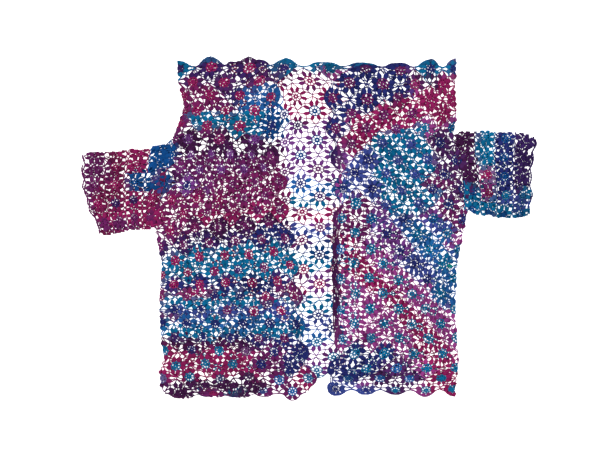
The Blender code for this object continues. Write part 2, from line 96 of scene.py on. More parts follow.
# The sleeves: the way out, from the top fold to the first row, the first and last row of
# the front that go on into it, and the x at both ends of its upper and its lower fold
SLEEVES = {
    "left": (-1, 24.0, (0, 5), (-400, -243), (-366, -274)),
    "right": (1, 9.0, (5, 9), (254, 400), (278, 382)),
}
SLEEVE_COLUMNS = 4
SLEEVE_ROWS = 9  # of flowers, all the way round
CUFF_ROOM = 0.10  # from the cuff's flowers to its chain, as a share of a flower's width

# The gathered hem: a narrow second fold of the left front that lies on it
HEM_GATHER = 0.62  # the part of its length that is left
HEM_SHIFT = 13.0
HEM_RISE = 1.7
HEM_COLUMNS = (1, 6)
HEM_ROWS = 2
HEM_SHELLS = (1, 3, 5)  # the columns under it that have shells

SELVEDGE = (0.22, 0.36, 0.5, 0.64)  # rows of stitches along the right front's opening
SELVEDGE_ROWS = (9.5, 18.5)
YOKE_CORNER = ((0.0, 5.0), (0.1, 3.0))  # more flowers at its lower outer corner

# How plump the flowers are, even between the rows given as (row, plump)
YOKE_PLUMP = ((0, 1.36),)
CORNER_PLUMP = ((0, 1.1),)
LEFT_PLUMP = ((13, 1.32), (15, 1.5))
HEM_PLUMP = ((0, 1.0),)
RIGHT_PLUMP = ((5, 1.28), (9, 1.1), (19, 1.1), (21, 1.35))
BACK_PLUMP = ((0, 1.1),)
SIDES_PLUMP = ((0, 1.25),)
SLEEVE_PLUMP = ((0, 1.3),)

# One flower
EYE = 0.105  # ring in the middle
RING = 0.32  # ring that the petals stand on
RING_BOW = 0.012  # out and in between the spokes
SPOKE = (EYE + 0.02, (EYE + RING) / 2, RING - 0.005)
TIP = 0.71
PETALS = 8
PETAL_STEP = 2 * math.pi / PETALS
REACH = TIP * math.cos(PETAL_STEP / 2)  # of the petal tips, along a column or row
TYPICAL_PITCH = 26.0  # from a flower to the knot beside it
SCALES = (0.9, 1.06)  # the least and greatest size of the strands, by the pitch
PETAL_SHAPE = (  # share of the length, share of the width
    (0, 0.42),
    (0.15, 0.78),
    (0.32, 1.0),
    (0.5, 1.05),
    (0.68, 0.92),
    (0.86, 0.58),
    (1, 0.2),
)
PETAL_HEIGHTS = (0.45, 0.55)  # share of the height at all widths, and more by the width
PETAL_LEAN = 0.085  # how far a petal's tip turns to the other of its pair
PETAL_ARCH = 0.3  # how far its middle rises
THREAD_START = 0.985  # just inside the petal's tip, as a share of the way to it
CORNER_BOW = 0.22  # of the threads to the corners between four places
KNOT_HALF = 0.055
KNOT_BAR = ((-1.0, 0.45), (-0.4, 0.85), (0.4, 0.85), (1.0, 0.45))  # (share, half width)
STEPS_TO_KNOTS = ((1, 0), (0, -1), (-1, 0), (0, 1))
STEPS_TO_CORNERS = ((0.5, -0.5), (-0.5, -0.5), (-0.5, 0.5), (0.5, 0.5))

# The strands: half of the width, half of the height, and how far they lie over the
# middle of the lace
EYE_STRAND = (1.45, 0.9, 0.25)
RING_STRAND = (1.1, 0.85, 0.1)
SPOKE_RADII = (1.1, 1.0, 1.1)
SPOKE_UP = 0.1
PETAL_STRAND = (3.3, 0.95, 0.15)
THREAD_RADIUS = 0.82
THREAD_STEP = 0.07  # from the height of one thread to that of the next at a knot
THREAD_PAINTED_LIGHT = 1.4  # thread colours painted lighter, as painted backlight: thin threads let more light through than petals
MIDDLE_LIGHT = 1.15

# How much one flower, petal, thread or stitch differs from another, as a spread
SPREADS = {
    "spin": 0.07,
    "size": 0.03,
    "shift": 0.025,
    "lean": 0.25,
    "light": 0.1,
    "petal bend": 0.05,
    "petal turn": 0.045,
    "petal length": 0.025,
    "petal light": 0.08,
    "petal tilt": 0.2,
    "petal width": 0.06,
    "thread bow": 0.06,
    "corner bow": 0.05,
    "knot slant": 0.03,
    "stitch light": 0.09,
    "stitch length": 0.008,
    "stitch turn": 0.012,
    "stitch height": 0.12,
}

# Steps and sides of the strands, and the places of PETAL_SHAPE that a petal has
Fineness = namedtuple("Fineness", "eye_steps ring_steps ring_sides spoke_sides petal thread_steps")
FINE = Fineness(14, 32, 4, 4, (0, 1, 2, 3, 4, 5, 6), 5)
PLAIN = Fineness(10, 16, 3, 3, (0, 2, 3, 5, 6), 3)
PETAL_SIDES = 6
THREAD_SIDES = 3
STITCH_SIDES = 5

# The chain line along an edge: (along, outward) round each flower's tips, and in at a knot
SCALLOP = ((-0.64, 0.30), (-0.29, 0.67), (0.29, 0.67), (0.64, 0.30))
SCALLOP_KNOT = ((0, 0.16),)
CUFF_SCALLOP = ((-0.52, -0.24), (-0.57, 0.0), (-0.52, 0.24), (-0.44, 0.5))
CHAIN_STEPS = 5  # between each two of these
CHAIN_HALF_WIDTH = 0.85
CHAIN_SWELL = 0.22  # more and less at each of its stitches
CHAIN_TURN = 2.1  # radians of this swell from step to step
CHAIN_HALF_HEIGHT = 0.8
CUFF_PLUMP = 1.6
SELVEDGE_PLUMP = 1.35
SELVEDGE_SPREAD = 0.02

# The fan of close stitches round the outer side of a flower at an edge
SHELL_STITCHES = 21
SHELL_HALF_ANGLE = 1.2
SHELL_ROUND = 0.9  # how much shorter its outer stitches are
SHELL_START = (TIP - 0.06, -0.15)  # at its ends, and more in its middle
SHELL_STOP = (TIP - 0.02, 0.07)
SHELL_WIDTHS = (0.8, 1.05, 1.1, 0.8)
SHELL_HALF_HEIGHT = 0.85
SHELL_UP = 0.25
SHELL_STRAY = 0.4  # how far out from its flower's middle it takes its colour

# Yarn colours, as display values
MAGENTA = (132, 24, 82)
PLUM = (96, 28, 86)
DARK_PLUM = (62, 20, 66)
PURPLE = (102, 50, 120)
MAUVE = (138, 54, 124)
WINE = (108, 26, 82)
INDIGO = (50, 28, 84)
DEEP_PURPLE = (70, 32, 86)
INK = (52, 66, 136)
BERRY = (102, 20, 66)
NAVY = (32, 38, 100)
BLUE = (8, 64, 122)
DENIM = (28, 84, 146)
TEAL = (0, 97, 140)
GREEN_TEAL = (8, 120, 116)
CORAL = (216, 92, 100)

# The yarns of each piece, for petals and for the middles of flowers: first those all over
# it, then patches painted one over the other, with the middle's x and y, half of the
# length, half of the width and the degrees that they are turned by
FRONT_LEFT_YARNS = (
    (PLUM, MAGENTA),
    (-130, 300, 150, 17, 0, TEAL, MAGENTA),
    (-111, 298, 28, 22, 0, DARK_PLUM, MAGENTA),
    (-43, 288, 24, 22, 0, TEAL, NAVY),
    (-150, 278, 105, 11, 0, INDIGO, MAGENTA),
    (-150, 257, 130, 12, 0, DEEP_PURPLE, MAGENTA),
    (-208, 222, 48, 34, 0, WINE, MAGENTA),
    (-142, 230, 24, 16, 0, INDIGO, MAGENTA),
    (-150, 208, 26, 12, 0, PLUM, MAGENTA),
    (-85, 226, 46, 24, 0, DENIM, MAGENTA),
    (-128, 191, 76, 16, 0, TEAL, MAGENTA),
    (-112, 172, 16, 14, 0, TEAL, MAGENTA),
    (-62, 182, 22, 26, 0, BLUE, NAVY),
    (-150, 142, 125, 22, 0, DARK_PLUM, PURPLE),
    (-150, 160, 14, 10, 0, DARK_PLUM, MAGENTA),
    (-150, 104, 130, 20, 0, PLUM, PURPLE),
    (-225, 72, 50, 13, 0, PURPLE, NAVY),
    (-85, 70, 82, 36, 0, WINE, PLUM),
    (-205, 34, 66, 26, 6, WINE, MAGENTA),
    (-115, 26, 120, 12, 6, MAGENTA, PLUM),
    (-120, 4, 84, 15, 4, DARK_PLUM, PLUM),
    (-140, -22, 145, 17, 5, INDIGO, PLUM),
    (-60, -12, 66, 17, 6, NAVY, PLUM),
    (-140, -60, 145, 27, 4, TEAL, MAGENTA),
    (-80, -74, 56, 9, 2, TEAL, NAVY),
    (-140, -98, 145, 12, 3, NAVY, MAGENTA),
    (-140, -133, 145, 17, 0, TEAL, NAVY),
    (-204, -117, 64, 6, 1, MAGENTA, MAGENTA),
    (-150, -147, 125, 6, 0, INK, NAVY),
    (-80, -146, 44, 9, 0, INK, MAGENTA),
    (-140, -174, 145, 22, 0, TEAL, NAVY),
    (-140, -166, 145, 6, 0, DENIM, NAVY),
    (-62, -197, 66, 11, 0, NAVY, PLUM),
    (-200, -203, 84, 7, 0, DARK_PLUM, NAVY),
    (-165, -239, 120, 31, -3, MAGENTA, TEAL),
    (-64, -226, 40, 22, -20, PLUM, NAVY),
    (-150, -278, 135, 15, 0, DARK_PLUM, DARK_PLUM),
    (-232, -275, 12, 10, 0, DARK_PLUM, TEAL),
    (-190, -290, 16, 6, 0, TEAL, TEAL),
    (-143, -287, 16, 6, 0, TEAL, TEAL),
    (-24, -232, 20, 34, 0, NAVY, NAVY),
    (-45, -284, 50, 19, 0, PLUM, DENIM),
    (-10, -262, 14, 14, 0, MAGENTA, TEAL),
    (-230, 288, 13, 17, 0, TEAL, INDIGO),
    (-252, 128, 26, 18, 66, BLUE, BLUE),
    (-270, 88, 12, 18, 0, BLUE, BLUE),
    (-240, 92, 12, 14, 0, DARK_PLUM, PLUM),
)
FRONT_RIGHT_YARNS = (
    (MAUVE, TEAL),
    (90, 95, 34, 62, 0, INK, NAVY),
    (150, 12, 120, 40, 0, PURPLE, BLUE),
    (165, 110, 86, 52, -77, TEAL, INK),
    (86, 236, 96, 44, 29, NAVY, PLUM),
    (160, 203, 112, 27, 28, MAGENTA, PLUM),
    (232, 226, 30, 44, 0, MAGENTA, MAGENTA),
    (198, 262, 26, 13, 0, DARK_PLUM, MAGENTA),
    (252, 112, 34, 70, 12, DEEP_PURPLE, NAVY),
    (228, 82, 24, 18, 0, PLUM, NAVY),
    (254, 18, 28, 34, 0, PLUM, NAVY),
    (120, 290, 100, 8, 0, NAVY, INDIGO),
    (38, 286, 22, 12, 0, TEAL, NAVY),
    (222, 284, 32, 14, 0, TEAL, NAVY),
    (113, 296, 22, 8, 0, TEAL, NAVY),
    (173, 296, 18, 8, 0, TEAL, NAVY),
    (222, 300, 14, 8, 0, INDIGO, NAVY),
    (44, 140, 14, 50, 0, INDIGO, PLUM),
    (42, 62, 15, 22, 0, BLUE, TEAL),
    (72, 8, 34, 40, 0, PLUM, TEAL),
    (165, -2, 66, 22, 0, INK, TEAL),
    (190, -42, 76, 44, -35, INK, NAVY),
    (208, -30, 50, 22, -40, DENIM, TEAL),
    (150, -20, 34, 20, -30, PURPLE, NAVY),
    (214, -22, 34, 7, -52, TEAL, TEAL),
    (244, -100, 46, 24, 90, DENIM, TEAL),
    (238, -68, 8, 8, 0, GREEN_TEAL, GREEN_TEAL),
    (72, -45, 44, 24, -60, MAGENTA, TEAL),
    (136, -112, 70, 18, -45, MAGENTA, TEAL),
    (216, -213, 56, 22, -55, MAGENTA, TEAL),
    (105, -160, 64, 22, -30, MAUVE, TEAL),
    (44, -87, 17, 112, 0, DARK_PLUM, DENIM),
    (86, -236, 66, 34, 0, NAVY, TEAL),
    (48, -250, 24, 24, 0, NAVY, NAVY),
    (84, -284, 74, 15, 0, INK, NAVY),
    (168, -286, 30, 12, 0, DEEP_PURPLE, TEAL),
    (152, -256, 42, 26, 0, DEEP_PURPLE, DENIM),
    (240, -266, 34, 26, 0, MAGENTA, TEAL),
    (86, -191, 13, 13, 0, PLUM, CORAL),
)
SLEEVE_LEFT_YARNS = (
    (BERRY, MAGENTA),
    (-376, 112, 34, 28, 0, PLUM, PLUM),
    (-312, 122, 24, 26, 0, MAGENTA, MAGENTA),
    (-322, 70, 14, 14, 0, MAGENTA, INDIGO),
    (-306, 42, 12, 12, 0, MAGENTA, INDIGO),
    (-347, 44, 12, 12, 0, BERRY, INDIGO),
    (-392, 40, 14, 90, 0, PLUM, PLUM),
    (-352, 4, 40, 12, 0, PLUM, PLUM),
    (-310, 20, 50, 14, 0, MAGENTA, PLUM),
    (-258, 128, 26, 34, -20, BLUE, BLUE),
    (-288, 88, 24, 22, 0, BLUE, BLUE),
)
SLEEVE_RIGHT_YARNS = (
    (DEEP_PURPLE, PLUM),
    (270, 110, 20, 95, 0, DARK_PLUM, DARK_PLUM),
    (310, 110, 19, 95, 0, TEAL, TEAL),
    (343, 110, 18, 95, 0, NAVY, BLUE),
    (378, 110, 19, 95, 0, INDIGO, INDIGO),
    (308, 97, 9, 9, 0, MAGENTA, MAGENTA),
    (308, 67, 12, 11, 0, PLUM, BERRY),
    (322, 32, 75, 17, 0, TEAL, BLUE),
    (280, 58, 14, 18, 0, TEAL, BLUE),
    (350, 50, 14, 14, 0, INK, TEAL),
    (372, 40, 22, 14, 0, INK, TEAL),
    (380, 65, 10, 8, 0, TEAL, TEAL),
    (382, 24, 12, 9, 0, TEAL, TEAL),
)
BACK_BANDS = (  # y, half of the width, petals, middles of the flowers
    (292, 18, TEAL, NAVY),
    (261, 13, PLUM, MAGENTA),
    (233, 15, MAGENTA, MAGENTA),
    (206, 12, MAGENTA, BLUE),
    (180, 13, PURPLE, INDIGO),
    (136, 32, PURPLE, BLUE),
    (98, 11, PURPLE, INDIGO),
    (72, 14, DENIM, NAVY),
    (46, 13, TEAL, PURPLE),
    (20, 12, MAGENTA, MAGENTA),
    (-6, 13, INK, PLUM),
    (-36, 14, BLUE, NAVY),
    (-61, 12, TEAL, MAGENTA),
    (-88, 13, PURPLE, MAGENTA),
    (-109, 9, MAGENTA, MAGENTA),
    (-138, 20, TEAL, INK),
    (-164, 11, INK, NAVY),
    (-186, 12, DENIM, TEAL),
    (-208, 12, PURPLE, DENIM),
    (-236, 18, PURPLE, TEAL),
    (-264, 9, TEAL, TEAL),
)
BACK_YARNS = (
    (PLUM, MAGENTA),
    *((0, y, 300, half_width, 0, *yarns) for y, half_width, *yarns in BACK_BANDS),
)
SOFT_EDGE = 7.0  # over which one colour turns into the next
WAVES = ((3, 0.07), (2, 0.09))  # height and pace of the waves along a patch's edge
PETAL_STRAY = 0.36  # how far out from its flower's middle a petal takes its colour
STRAY = 4.0  # how far that place strays from flower to flower
STRIP_ROOM = 24  # from the strip that shows to where the back has the fronts' colours

# The yarn's surface
SLOTS = ("lace_back", "lace_front_left", "lace_front_right", "lace_sleeve_left", "lace_sleeve_right")
YARN_SURFACE = {
    "Roughness": 0.85,
    "Sheen Weight": 0.04,
    "Sheen Roughness": 0.45,
    "Specular IOR Level": 0.05,
}
YARN_WIDTH = 1.7
PLY_PITCH = 2.4
PLY_SLANT = 5.0
STRAND_STEP = 0.37  # from where one strand's plies start to where the next one's do
FIBRES = {"Scale": 1400.0, "Detail": 3.0}
DYE = {"Scale": 160.0, "Detail": 2.0}
BUMP = {"Strength": 0.6, "Distance": 0.0004}

# The floor, the light and the camera, in metres
FLOOR_SIZE = 8.0
FLOOR_DROP = 0.0003
FLOOR_SURFACE = {
    "Base Color": (0.9, 0.9, 0.9, 1),
    "Roughness": 0.9,
    "Emission Color": (1, 1, 1, 1),
    "Emission Strength": 1.0,
}
LIGHT_SIZE = 1.6
LIGHT_WATTS = 12
LIGHT_PLACE = (-0.9, 1.1, 1.9)
VIEW_WIDTH = 1.05  # of the photograph's frame at the floor
VIEW_CENTRE = (-0.0175, -0.0026)
LENS = 85.0
SENSOR = 36.0


def linear(colour):
    """A yarn's colour as linear light."""
    share = np.array(colour) / 255.0
    return ((share + 0.055) / 1.055) ** 2.4


def smooth(rows, at):
    """The value at one place of a smooth curve through rows of (place, value)."""
    k = sum(at > place for place, _ in rows[1:-1])
    (start, low), (stop, high) = rows[k], rows[k + 1]
    before, after = rows[max(k - 1, 0)], rows[min(k + 2, len(rows) - 1)]
    length = stop - start
    slope_in = (high - before[1]) / (stop - before[0]) * length
    slope_out = (after[1] - low) / (after[0] - start) * length
    t = min(max((at - start) / length, 0.0), 1.0)
    square, cube = t * t, t * t * t
    return (
        low * (2 * cube - 3 * square + 1)
        + slope_in * (cube - 2 * square + t)
        + high * (3 * square - 2 * cube)
        + slope_out * (cube - square)
    )


def row_heights(known):
    """The height of each row, even between the known (row, height) pairs."""
    return np.interp(np.arange(known[-1][0] + 1), *zip(*known))


def unit(vectors):
    """The vectors at length 1."""
    return vectors / np.maximum(np.linalg.norm(vectors, axis=-1, keepdims=True), 1e-9)


def polar(angle, radius):
    """Steps in columns and rows, at angles from the right upwards."""
    return np.stack([np.cos(angle) * radius, -np.sin(angle) * radius], -1)


class Outline:
    """Where a frame node's solid starts and stops, and how high it is, in millimetres."""

    def __init__(self, node):
        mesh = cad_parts[node].data
        points = np.array([v.co for v in mesh.vertices]) / MM
        self.ends = points[np.array([tuple(edge.vertices) for edge in mesh.edges])]
        mesh.calc_loop_triangles()
        corners = [tuple(t.vertices) for t in mesh.loop_triangles]
        self.tree = BVHTree.FromPolygons([Vector(p) for p in points], corners)
        self.low, self.high = points.min(0), points.max(0)

    def span(self, axis, value):
        """The least and greatest x of the solid at one y (axis 1), or y at one x (axis 0)."""
        value = min(max(value, self.low[axis] + END_ROOM), self.high[axis] - END_ROOM)
        a, b = self.ends[:, 0], self.ends[:, 1]
        crosses = (a[:, axis] - value) * (b[:, axis] - value) < 0
        a, b = a[crosses], b[crosses]
        share = (value - a[:, axis]) / (b[:, axis] - a[:, axis])
        other = a[:, 1 - axis] + (b[:, 1 - axis] - a[:, 1 - axis]) * share
        return other.min(), other.max()

    def middle(self, x, y):
        """The height of the middle of the wall at one place of the plan."""
        hit = self.tree.ray_cast(Vector((x, y, OVERHEAD)), Vector((0, 0, -1)))[0]
        if hit is None:
            hit = self.tree.find_nearest(Vector((x, y, self.high[2])))[0]
        return hit.z - WALL / 2


def roll(past, up):
    """How far out and how high cloth is that goes past a fold by a length along it."""
    angle = np.clip(past / ROLL, 0, math.pi)
    out = (ROLL + up) * np.sin(angle) - np.maximum(past - math.pi * ROLL, 0)
    return out, LOW + ROLL + (ROLL + up) * np.cos(angle)


class Grid:
    """The places of a piece's lace, with one more column and row past every edge. It may
    have a fold, given as heights and the x at each, past which the lace turns under."""

    def __init__(self, places, edges=(), first_edge=0, sign=0, fold=None, armhole=None):
        self.places = np.array(places, float)
        self.columns = self.places.shape[0] - 2
        self.rows = self.places.shape[1] - 2
        self.edges = edges  # the finished ones: "top", "inner" or "bottom"
        self.first_edge = first_edge  # the column where the top and bottom edges start
        self.sign, self.fold, self.armhole = sign, fold, armhole

    def locate(self, spots):
        """The plan place and the height of the middle of the lace, at any spots."""
        i = np.clip(np.floor(spots[..., 0]).astype(int), -1, self.columns - 1)
        j = np.clip(np.floor(spots[..., 1]).astype(int), -1, self.rows - 1)
        f, g = (spots[..., 0] - i)[..., None], (spots[..., 1] - j)[..., None]
        at = self.places
        high = at[i + 1, j + 1] * (1 - f) + at[i + 2, j + 1] * f
        low = at[i + 1, j + 2] * (1 - f) + at[i + 2, j + 2] * f
        return high * (1 - g) + low * g

    def turns(self, spots):
        """Whether a flower or knot lies on the fold, and not on the armhole."""
        if self.fold is None:
            return np.zeros(len(spots), bool)
        y = self.locate(spots)[:, 1]
        return (spots[:, 0] < 1) & ((y < self.armhole[0]) | (y > self.armhole[1]))

    def lift(self, spots, up, turns):
        """Points of the lace, raised over its middle."""
        x, y, middle = np.moveaxis(self.locate(spots), -1, 0)
        z = middle + up
        if self.fold is not None:
            fold_x = np.interp(y, *self.fold)
            past = np.where(turns, (x - fold_x) * self.sign, -1.0)
            out, high = roll(past, up)
            x = np.where(past > 0, fold_x + self.sign * out, x)
            z = np.where(past > 0, high, z)
        return np.stack([x, y, z], -1)

    def is_flower(self, place):
        return sum(place) % 2 == 0

    def spots(self, flowers):
        """The column and row of every flower, or of every knot."""
        places = [(c, r) for r in range(self.rows) for c in range(self.columns)]
        return np.array([p for p in places if self.is_flower(p) == flowers], float)

    def has(self, knots):
        """Whether knots lie inside the piece's finished edges."""
        column, row = knots.T
        past = {"top": row < 0, "bottom": row > self.rows - 1, "inner": column > self.columns - 1}
        return ~np.any([past[edge] for edge in self.edges], axis=0)

    def scale(self, spots):
        """How large the lace is at some spots, as a share of its typical size."""
        right = self.locate(spots + (0.5, 0)) - self.locate(spots - (0.5, 0))
        down = self.locate(spots + (0, 0.5)) - self.locate(spots - (0, 0.5))
        cell = np.abs(right[..., 0] * down[..., 1] - right[..., 1] * down[..., 0])
        return np.clip(np.sqrt(cell) / TYPICAL_PITCH, *SCALES)

    def edge_places(self, edge):
        """The places along an edge, and the way out from it."""
        if edge == "inner":
            return [(self.columns - 1, row) for row in range(self.rows)], (1, 0)
        row, out = (0, -1) if edge == "top" else (self.rows - 1, 1)
        columns = range(self.first_edge, self.columns - self.first_edge)
        return [(column, row) for column in columns], (0, out)

    def edge_spots(self, edge):
        """Spots along a scalloped edge: round each flower's tips, and in at each knot."""
        places, out = self.edge_places(edge)
        out, spots = np.array(out), []
        for place in places:
            for along, outward in SCALLOP if self.is_flower(place) else SCALLOP_KNOT:
                spots.append(np.array(place) + np.abs(out[::-1]) * along + out * outward)
        return np.array(spots)


class SleeveGrid(Grid):
    """A sleeve's tube. Its places hold the flowers only, in straight columns round the
    sleeve, and their second coordinate in the plan is the way round. The knots lie between
    four flowers, so that the chequerboard's columns and rows run slantwise here."""

    def __init__(self, places, tops, bottoms):
        super().__init__(places)
        self.tops, self.bottoms = tops, bottoms

    def slantwise(self, along, around):
        """Spots of the chequerboard at columns and rows of flowers."""
        return np.stack([along + around, along - around], -1)

    def locate(self, spots):
        column, row = spots[..., 0], spots[..., 1]
        return super().locate(np.stack([(column + row) / 2, (column - row) / 2], -1))

    def spots(self, flowers):
        aside = 0.0 if flowers else 0.5
        along, around = np.meshgrid(np.arange(self.columns), np.arange(self.rows))
        return self.slantwise(along.ravel() + aside, around.ravel() + aside)

    def has(self, knots):
        return knots[:, 0] + knots[:, 1] > 0

    def cuff_spots(self):
        """Spots along the cuff."""
        spots = [(u, v + row) for row in range(self.rows) for u, v in CUFF_SCALLOP]
        return self.slantwise(*np.array(spots).T)

    def lift(self, spots, up, turns):
        """Points of the lace, raised over its middle."""
        x, way, middle = np.moveaxis(self.locate(spots), -1, 0)
        top, bottom = np.interp(x, *self.tops), np.interp(x, *self.bottoms)
        flat, bend = top - bottom, math.pi * ROLL
        way = np.mod(way + bend, 2 * (flat + bend)) - bend
        out, high = roll(-way, up)
        out_below, low = roll(way - flat, up)
        over, under = way < 0, way >= flat
        y = np.where(over, top + out, np.where(under, bottom - out_below, top - way))
        z = np.where(over, high, np.where(under, low, middle + up))
        return np.stack([x, y, z], -1)


def right_shares(row):
    """The columns' shares at a row of the right front, which become even further down."""
    even = min(row / RIGHT_TOP_ROWS, 1.0)
    return [s + (k / RIGHT_COLUMNS - s) * even for k, s in enumerate(RIGHT_TOP_SHARES)]


def add_edge_rows(columns, outline, edges):
    """Adds a row past each end of the columns, so that petals reach a scalloped edge."""
    rises, falls = [], []
    for places in columns[1:-1]:
        (x0, y0), (x1, y1) = places[0], places[-1]
        rise, fall = y0 - places[1][1], places[-2][1] - y1
        if "top" in edges:
            rise = np.clip(outline.span(0, x0)[1] - EDGE_ROOM - y0, *EDGE_REACH) / REACH
        if "bottom" in edges:
            fall = np.clip(y1 - outline.span(0, x1)[0] - EDGE_ROOM, *EDGE_REACH) / REACH
        rises.append(rise)
        falls.append(fall)
    for k, places in enumerate(columns):
        near = min(max(k - 1, 0), len(rises) - 1)
        (x0, y0), (x1, y1) = places[0], places[-1]
        places.insert(0, (x0, y0 + rises[near]))
        places.append((x1, y1 - falls[near]))


def disturb(columns, seed, spread):
    """Moves the places of the lace a little, apart from those past its edges."""
    rng = np.random.default_rng(seed)
    for places in columns[1:-1]:
        for row in range(1, len(places) - 1):
            x, y = places[row]
            dx, dy = np.clip(rng.normal(0, spread, 2), -2 * spread, 2 * spread)
            places[row] = (x + dx, y + dy)


def front_grid(node, sign, known, shares, tilts, armhole, edges, seed):
    """A front's grid, from its fold to its opening."""
    outline = Outline(node)

    def ends(y):
        """Where the cloth starts to turn, or its seam, and the opening."""
        outer, inner = outline.span(1, y)[::-sign]
        past = SEAM_HALF if armhole[0] < y < armhole[1] else TURN
        return outer - sign * past, inner

    heights = row_heights(known)
    columns = [[] for _ in shares(0)]
    for row, height in enumerate(heights):
        tilt = smooth(tilts, height) if tilts else 0.0
        for places, share in zip(columns, shares(row)):
            y = height + tilt * (share - 0.5)
            outer, inner = ends(y)
            places.append((outer + (inner + sign * INNER_MARGIN - outer) * share, y))
    first = [(x + sign * OUTER_PITCH, y) for x, y in columns[0]]
    last = []
    for x, y in columns[-1]:
        reach = np.clip(sign * (x - ends(y)[1]) - EDGE_ROOM, *EDGE_REACH)
        last.append((x - sign * reach / REACH, y))
    columns = [first] + columns + [last]
    add_edge_rows(columns, outline, edges)
    disturb(columns, seed, FRONT_WANDER)
    places = [[(x, y, max(outline.middle(x, y), LOW)) for x, y in c] for c in columns]
    ys = np.linspace(heights[-1], heights[0], FOLD_STEPS)
    return Grid(places, edges, 0, sign, (ys, np.array([ends(y)[0] for y in ys])), armhole)


def front_grids():
    """The grids of the left front's top, of the rest of it, and of the right front."""
    edges = ("top", "inner", "bottom")
    left, right = ("front_left", -1), ("front_right", 1)
    even = [k / LEFT_COLUMNS for k in range(LEFT_COLUMNS + 1)]
    yoke = (YOKE_HEIGHTS, lambda row: YOKE_SHARES, None)
    body = (LEFT_HEIGHTS, lambda row: even, LEFT_TILTS)
    return (
        front_grid(*left, *yoke, LEFT_ARMHOLE, edges[:2], SEED + 30),
        front_grid(*left, *body, LEFT_ARMHOLE, edges[1:], SEED + 31),
        front_grid(*right, RIGHT_HEIGHTS, right_shares, None, RIGHT_ARMHOLE, edges, SEED + 32),
    )


def gathered_hem(front):
    """A front's grid again, with the hem drawn up into a narrow fold that lies on it."""
    places = front.places.copy()
    hem = places[:, -1:, 1]
    places[..., 1] = hem + (places[..., 1] - hem) * HEM_GATHER
    places[..., 0] += HEM_SHIFT
    places[..., 2] += HEM_RISE
    return Grid(places, front.edges, 0, front.sign, front.fold, front.armhole)


def slack(place, count):
    """How far the back's lace strays at one of some places, as a share, none at both ends."""
    share = min(place, count - place, SLACK_ROOM) / SLACK_ROOM
    return math.sin(share * math.pi / 2)


def back_place(column, row, y, folds):
    """A place of the back's lace: in the strip that shows, or between it and a fold."""
    first, last = BACK_STRIP
    near = min(max(column, first), last)
    x = smooth(BACK_STRIP_X, y) + BACK_PITCH * (near - first)
    if column == near:
        return x, y
    side = int(column > near)
    place, count = (BACK_COLUMNS - column, BACK_COLUMNS - last) if side else (column, first)
    share, stray = place / count, slack(place, count)
    fold_x, fold_y = folds[side][row][:2]
    x = fold_x + (x - fold_x) * share + BACK_SLACK[side] * stray
    sag = BACK_SLACK[2] * slack(row, BACK_HEIGHTS[-1][0]) * stray
    return x, fold_y + (y - fold_y) * share - sag


def back_grid(yoke, left, right):
    """The back's grid, from the left fold to the right one."""
    left_fold = np.vstack([yoke.places[1, 1:-1], left.places[1, 1:-1]])
    folds = left_fold, right.places[1, 1:-1]
    heights = row_heights(BACK_HEIGHTS)
    columns = [
        [back_place(column, row, y, folds) for row, y in enumerate(heights)]
        for column in range(BACK_COLUMNS + 1)
    ]
    before = [(x - OUTER_PITCH, y) for x, y in columns[0]]
    after = [(x + OUTER_PITCH, y) for x, y in columns[-1]]
    columns = [before] + columns + [after]
    edges = ("top", "bottom")
    add_edge_rows(columns, Outline("back"), edges)
    disturb(columns[1:-1], SEED + 33, BACK_WANDER)
    return Grid([[(x, y, LOW) for x, y in c] for c in columns], edges, 1)


def sleeve_fold(outline, xs, side, past):
    """A sleeve's upper or lower fold, as its x and the y where the cloth starts to turn."""
    xs = np.linspace(*xs, SLEEVE_FOLD_STEPS)
    return xs, np.array([outline.span(0, x)[side] + past for x in xs])


def sleeve_grid(side, front):
    """A sleeve's grid, from its cuff to the armhole, and all the way round."""
    sign, start, body_rows, top_ends, bottom_ends = SLEEVES[side]
    outline = Outline(f"sleeve_{side}_over")
    tops = sleeve_fold(outline, top_ends, 1, -TURN)
    bottoms = sleeve_fold(outline, bottom_ends, 0, TURN)
    cuff = 0 if sign < 0 else -1
    high, low = tops[1][cuff], bottoms[1][cuff]
    seam = front.places[1, body_rows[0] + 1 : body_rows[1] + 2][::-1]

    def cuff_x(y):
        return outline.span(1, min(max(y, low), high))[cuff] - sign * EDGE_ROOM

    def place(column, row):
        """The x, the way round and the height of one flower."""
        share = (column + 0.5 + CUFF_ROOM) / (SLEEVE_COLUMNS + CUFF_ROOM)
        x = cuff_x((high + low) / 2)
        for _ in range(3):
            top, bottom = np.interp(x, *tops), np.interp(x, *bottoms)
            flat, bend = top - bottom, math.pi * ROLL
            way = start + 2 * (flat + bend) * row / SLEEVE_ROWS
            at = way % (2 * (flat + bend))
            shown = at < flat
            y = top - at if shown else min(max(bottom + at - flat - bend, bottom), top)
            edge = cuff_x(y)
            x = edge + (np.interp(y, seam[:, 1], seam[:, 0]) - edge) * share
        return x, way, max(outline.middle(x, y), HIGH) if shown else HIGH

    rows, columns = range(-1, SLEEVE_ROWS + 1), range(-1, SLEEVE_COLUMNS + 1)
    return SleeveGrid([[place(column, row) for row in rows] for column in columns], tops, bottoms)


